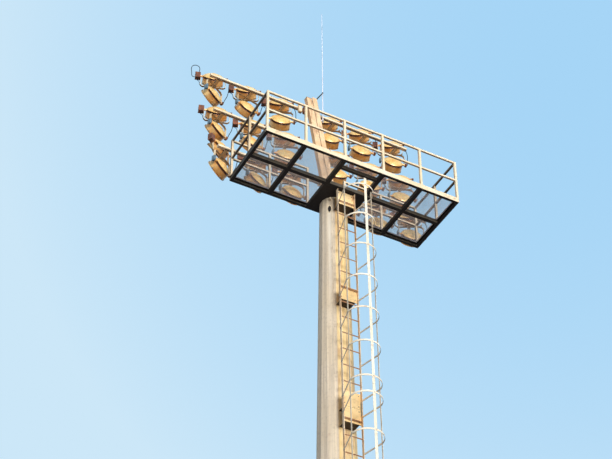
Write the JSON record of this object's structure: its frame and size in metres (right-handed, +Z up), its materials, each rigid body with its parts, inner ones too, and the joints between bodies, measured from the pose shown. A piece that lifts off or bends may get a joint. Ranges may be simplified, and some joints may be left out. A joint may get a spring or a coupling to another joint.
{
  "type": "stadium floodlight pylon",
  "caption": "Tapered steel floodlight mast with a railed service platform, a caged ladder, and a leaning headframe of round tilting floodlights.",
  "frame": {"origin": "centre of the underside of the round base flange", "axes": "+Z up the mast, +X along the lamp arms, +Y towards the lit pitch, the ladder on the -Y side"},
  "size_m": [5.7004, 3.4098, 32.88],
  "materials": {
    "cream_paint": "satin",
    "lamp_gold": "satin",
    "galvanised_steel": "dull",
    "brown_enamel": "satin",
    "black_rubber": "matte"
  },
  "bodies": {
    "pylon": {"base_flange": "cream_paint", "mast_lower": "cream_paint", "mast_middle": "cream_paint", "mast_upper": "cream_paint", "door_cover": "cream_paint", "head_plate": "cream_paint", "platform_frame": "cream_paint", "floor_grating": "galvanised_steel", "railing_near": "cream_paint", "railing_outer": "cream_paint", "spine": "cream_paint", "cable_tray": "cream_paint", "arm_top": "cream_paint", "arm_middle": "cream_paint", "arm_bottom": "cream_paint", "stirrups": "galvanised_steel", "terminal_boxes": "brown_enamel", "service_loop": "black_rubber", "ladder_upper": "cream_paint", "ladder_lower": "cream_paint", "cage_upper": "cream_paint", "cage_lower": "cream_paint", "ladder_brackets": "galvanised_steel", "lightning_rod": "galvanised_steel"},
    "head_top_upper_1": {"floodlight_top_upper_1": "lamp_gold"},
    "head_top_upper_2": {"floodlight_top_upper_2": "lamp_gold"},
    "head_top_upper_3": {"floodlight_top_upper_3": "lamp_gold"},
    "head_top_upper_4": {"floodlight_top_upper_4": "lamp_gold"},
    "head_top_upper_5": {"floodlight_top_upper_5": "lamp_gold"},
    "head_top_upper_6": {"floodlight_top_upper_6": "lamp_gold"},
    "head_top_lower_1": {"floodlight_top_lower_1": "lamp_gold"},
    "head_top_lower_2": {"floodlight_top_lower_2": "lamp_gold"},
    "head_top_lower_3": {"floodlight_top_lower_3": "lamp_gold"},
    "head_top_lower_4": {"floodlight_top_lower_4": "lamp_gold"},
    "head_top_lower_5": {"floodlight_top_lower_5": "lamp_gold"},
    "head_top_lower_6": {"floodlight_top_lower_6": "lamp_gold"},
    "head_middle_upper_1": {"floodlight_middle_upper_1": "lamp_gold"},
    "head_middle_upper_2": {"floodlight_middle_upper_2": "lamp_gold"},
    "head_middle_upper_3": {"floodlight_middle_upper_3": "lamp_gold"},
    "head_middle_upper_4": {"floodlight_middle_upper_4": "lamp_gold"},
    "head_middle_upper_5": {"floodlight_middle_upper_5": "lamp_gold"},
    "head_middle_upper_6": {"floodlight_middle_upper_6": "lamp_gold"},
    "head_middle_lower_1": {"floodlight_middle_lower_1": "lamp_gold"},
    "head_middle_lower_2": {"floodlight_middle_lower_2": "lamp_gold"},
    "head_middle_lower_3": {"floodlight_middle_lower_3": "lamp_gold"},
    "head_middle_lower_4": {"floodlight_middle_lower_4": "lamp_gold"},
    "head_middle_lower_5": {"floodlight_middle_lower_5": "lamp_gold"},
    "head_middle_lower_6": {"floodlight_middle_lower_6": "lamp_gold"},
    "head_bottom_upper_1": {"floodlight_bottom_upper_1": "lamp_gold"},
    "head_bottom_upper_2": {"floodlight_bottom_upper_2": "lamp_gold"},
    "head_bottom_upper_3": {"floodlight_bottom_upper_3": "lamp_gold"},
    "head_bottom_upper_4": {"floodlight_bottom_upper_4": "lamp_gold"},
    "head_bottom_upper_5": {"floodlight_bottom_upper_5": "lamp_gold"},
    "head_bottom_upper_6": {"floodlight_bottom_upper_6": "lamp_gold"},
    "head_bottom_lower_1": {"floodlight_bottom_lower_1": "lamp_gold"},
    "head_bottom_lower_2": {"floodlight_bottom_lower_2": "lamp_gold"},
    "head_bottom_lower_3": {"floodlight_bottom_lower_3": "lamp_gold"},
    "head_bottom_lower_4": {"floodlight_bottom_lower_4": "lamp_gold"},
    "head_bottom_lower_5": {"floodlight_bottom_lower_5": "lamp_gold"},
    "head_bottom_lower_6": {"floodlight_bottom_lower_6": "lamp_gold"}
  },
  "joints": [
    {"name": "tilt_top_upper_1", "type": "hinge", "parent": "pylon", "child": "head_top_upper_1", "pos_m": [-2.44, 1.40477, 29.62], "axis": [0.9511, -0.309, 0], "range_deg": [-15, 15]},
    {"name": "tilt_top_upper_2", "type": "hinge", "parent": "pylon", "child": "head_top_upper_2", "pos_m": [-1.555, 1.40477, 29.62], "axis": [0.9397, -0.342, 0], "range_deg": [-15, 15]},
    {"name": "tilt_top_upper_3", "type": "hinge", "parent": "pylon", "child": "head_top_upper_3", "pos_m": [-0.67, 1.40477, 29.62], "axis": [0.9063, -0.4226, 0], "range_deg": [-15, 15]},
    {"name": "tilt_top_upper_4", "type": "hinge", "parent": "pylon", "child": "head_top_upper_4", "pos_m": [0.67, 1.40477, 29.62], "axis": [0.8829, -0.4695, 0], "range_deg": [-15, 15]},
    {"name": "tilt_top_upper_5", "type": "hinge", "parent": "pylon", "child": "head_top_upper_5", "pos_m": [1.555, 1.40477, 29.62], "axis": [0.8572, -0.515, 0], "range_deg": [-15, 15]},
    {"name": "tilt_top_upper_6", "type": "hinge", "parent": "pylon", "child": "head_top_upper_6", "pos_m": [2.44, 1.40477, 29.62], "axis": [0.8746, -0.4848, 0], "range_deg": [-15, 15]},
    {"name": "tilt_top_lower_1", "type": "hinge", "parent": "pylon", "child": "head_top_lower_1", "pos_m": [-2.44, 1.30477, 28.94], "axis": [0.8572, 0.515, 0], "range_deg": [-15, 15]},
    {"name": "tilt_top_lower_2", "type": "hinge", "parent": "pylon", "child": "head_top_lower_2", "pos_m": [-1.555, 1.30477, 28.94], "axis": [0.9781, 0.2079, 0], "range_deg": [-15, 15]},
    {"name": "tilt_top_lower_3", "type": "hinge", "parent": "pylon", "child": "head_top_lower_3", "pos_m": [-0.67, 1.30477, 28.94], "axis": [0.9703, -0.2419, 0], "range_deg": [-15, 15]},
    {"name": "tilt_top_lower_4", "type": "hinge", "parent": "pylon", "child": "head_top_lower_4", "pos_m": [0.67, 1.30477, 28.94], "axis": [0.9744, -0.225, 0], "range_deg": [-15, 15]},
    {"name": "tilt_top_lower_5", "type": "hinge", "parent": "pylon", "child": "head_top_lower_5", "pos_m": [1.555, 1.30477, 28.94], "axis": [0.9877, -0.1564, 0], "range_deg": [-15, 15]},
    {"name": "tilt_top_lower_6", "type": "hinge", "parent": "pylon", "child": "head_top_lower_6", "pos_m": [2.44, 1.30477, 28.94], "axis": [0.9816, -0.1908, 0], "range_deg": [-15, 15]},
    {"name": "tilt_middle_upper_1", "type": "hinge", "parent": "pylon", "child": "head_middle_upper_1", "pos_m": [-2.44, 1.08025, 28.18], "axis": [0.9613, -0.2756, 0], "range_deg": [-15, 15]},
    {"name": "tilt_middle_upper_2", "type": "hinge", "parent": "pylon", "child": "head_middle_upper_2", "pos_m": [-1.555, 1.08025, 28.18], "axis": [0.9272, -0.3746, 0], "range_deg": [-15, 15]},
    {"name": "tilt_middle_upper_3", "type": "hinge", "parent": "pylon", "child": "head_middle_upper_3", "pos_m": [-0.67, 1.08025, 28.18], "axis": [0.9135, -0.4067, 0], "range_deg": [-15, 15]},
    {"name": "tilt_middle_upper_4", "type": "hinge", "parent": "pylon", "child": "head_middle_upper_4", "pos_m": [0.67, 1.08025, 28.18], "axis": [0.891, -0.454, 0], "range_deg": [-15, 15]},
    {"name": "tilt_middle_upper_5", "type": "hinge", "parent": "pylon", "child": "head_middle_upper_5", "pos_m": [1.555, 1.08025, 28.18], "axis": [0.866, -0.5, 0], "range_deg": [-15, 15]},
    {"name": "tilt_middle_upper_6", "type": "hinge", "parent": "pylon", "child": "head_middle_upper_6", "pos_m": [2.44, 1.08025, 28.18], "axis": [0.866, -0.5, 0], "range_deg": [-15, 15]},
    {"name": "tilt_middle_lower_1", "type": "hinge", "parent": "pylon", "child": "head_middle_lower_1", "pos_m": [-2.44, 0.98025, 27.5], "axis": [0.866, 0.5, 0], "range_deg": [-15, 15]},
    {"name": "tilt_middle_lower_2", "type": "hinge", "parent": "pylon", "child": "head_middle_lower_2", "pos_m": [-1.555, 0.98025, 27.5], "axis": [0.9703, 0.2419, 0], "range_deg": [-15, 15]},
    {"name": "tilt_middle_lower_3", "type": "hinge", "parent": "pylon", "child": "head_middle_lower_3", "pos_m": [-0.67, 0.98025, 27.5], "axis": [0.9781, -0.2079, 0], "range_deg": [-15, 15]},
    {"name": "tilt_middle_lower_4", "type": "hinge", "parent": "pylon", "child": "head_middle_lower_4", "pos_m": [0.67, 0.98025, 27.5], "axis": [0.9781, -0.2079, 0], "range_deg": [-15, 15]},
    {"name": "tilt_middle_lower_5", "type": "hinge", "parent": "pylon", "child": "head_middle_lower_5", "pos_m": [1.555, 0.98025, 27.5], "axis": [0.9848, -0.1736, 0], "range_deg": [-15, 15]},
    {"name": "tilt_middle_lower_6", "type": "hinge", "parent": "pylon", "child": "head_middle_lower_6", "pos_m": [2.44, 0.98025, 27.5], "axis": [0.9781, -0.2079, 0], "range_deg": [-15, 15]},
    {"name": "tilt_bottom_upper_1", "type": "hinge", "parent": "pylon", "child": "head_bottom_upper_1", "pos_m": [-2.44, 0.75573, 26.74], "axis": [0.866, 0.5, 0], "range_deg": [-15, 15]},
    {"name": "tilt_bottom_upper_2", "type": "hinge", "parent": "pylon", "child": "head_bottom_upper_2", "pos_m": [-1.555, 0.75573, 26.74], "axis": [0.9703, -0.2419, 0], "range_deg": [-15, 15]},
    {"name": "tilt_bottom_upper_3", "type": "hinge", "parent": "pylon", "child": "head_bottom_upper_3", "pos_m": [-0.67, 0.75573, 26.74], "axis": [0.9397, -0.342, 0], "range_deg": [-15, 15]},
    {"name": "tilt_bottom_upper_4", "type": "hinge", "parent": "pylon", "child": "head_bottom_upper_4", "pos_m": [0.67, 0.75573, 26.74], "axis": [0.9063, -0.4226, 0], "range_deg": [-15, 15]},
    {"name": "tilt_bottom_upper_5", "type": "hinge", "parent": "pylon", "child": "head_bottom_upper_5", "pos_m": [1.555, 0.75573, 26.74], "axis": [0.8829, -0.4695, 0], "range_deg": [-15, 15]},
    {"name": "tilt_bottom_upper_6", "type": "hinge", "parent": "pylon", "child": "head_bottom_upper_6", "pos_m": [2.44, 0.75573, 26.74], "axis": [0.866, -0.5, 0], "range_deg": [-15, 15]},
    {"name": "tilt_bottom_lower_1", "type": "hinge", "parent": "pylon", "child": "head_bottom_lower_1", "pos_m": [-2.44, 0.65573, 26.06], "axis": [0.848, 0.5299, 0], "range_deg": [-15, 15]},
    {"name": "tilt_bottom_lower_2", "type": "hinge", "parent": "pylon", "child": "head_bottom_lower_2", "pos_m": [-1.555, 0.65573, 26.06], "axis": [0.9397, 0.342, 0], "range_deg": [-15, 15]},
    {"name": "tilt_bottom_lower_3", "type": "hinge", "parent": "pylon", "child": "head_bottom_lower_3", "pos_m": [-0.67, 0.65573, 26.06], "axis": [0.9962, 0.0872, 0], "range_deg": [-15, 15]},
    {"name": "tilt_bottom_lower_4", "type": "hinge", "parent": "pylon", "child": "head_bottom_lower_4", "pos_m": [0.67, 0.65573, 26.06], "axis": [0.9848, -0.1736, 0], "range_deg": [-15, 15]},
    {"name": "tilt_bottom_lower_5", "type": "hinge", "parent": "pylon", "child": "head_bottom_lower_5", "pos_m": [1.555, 0.65573, 26.06], "axis": [0.9848, -0.1736, 0], "range_deg": [-15, 15]},
    {"name": "tilt_bottom_lower_6", "type": "hinge", "parent": "pylon", "child": "head_bottom_lower_6", "pos_m": [2.44, 0.65573, 26.06], "axis": [0.9703, -0.2419, 0], "range_deg": [-15, 15]}
  ]
}
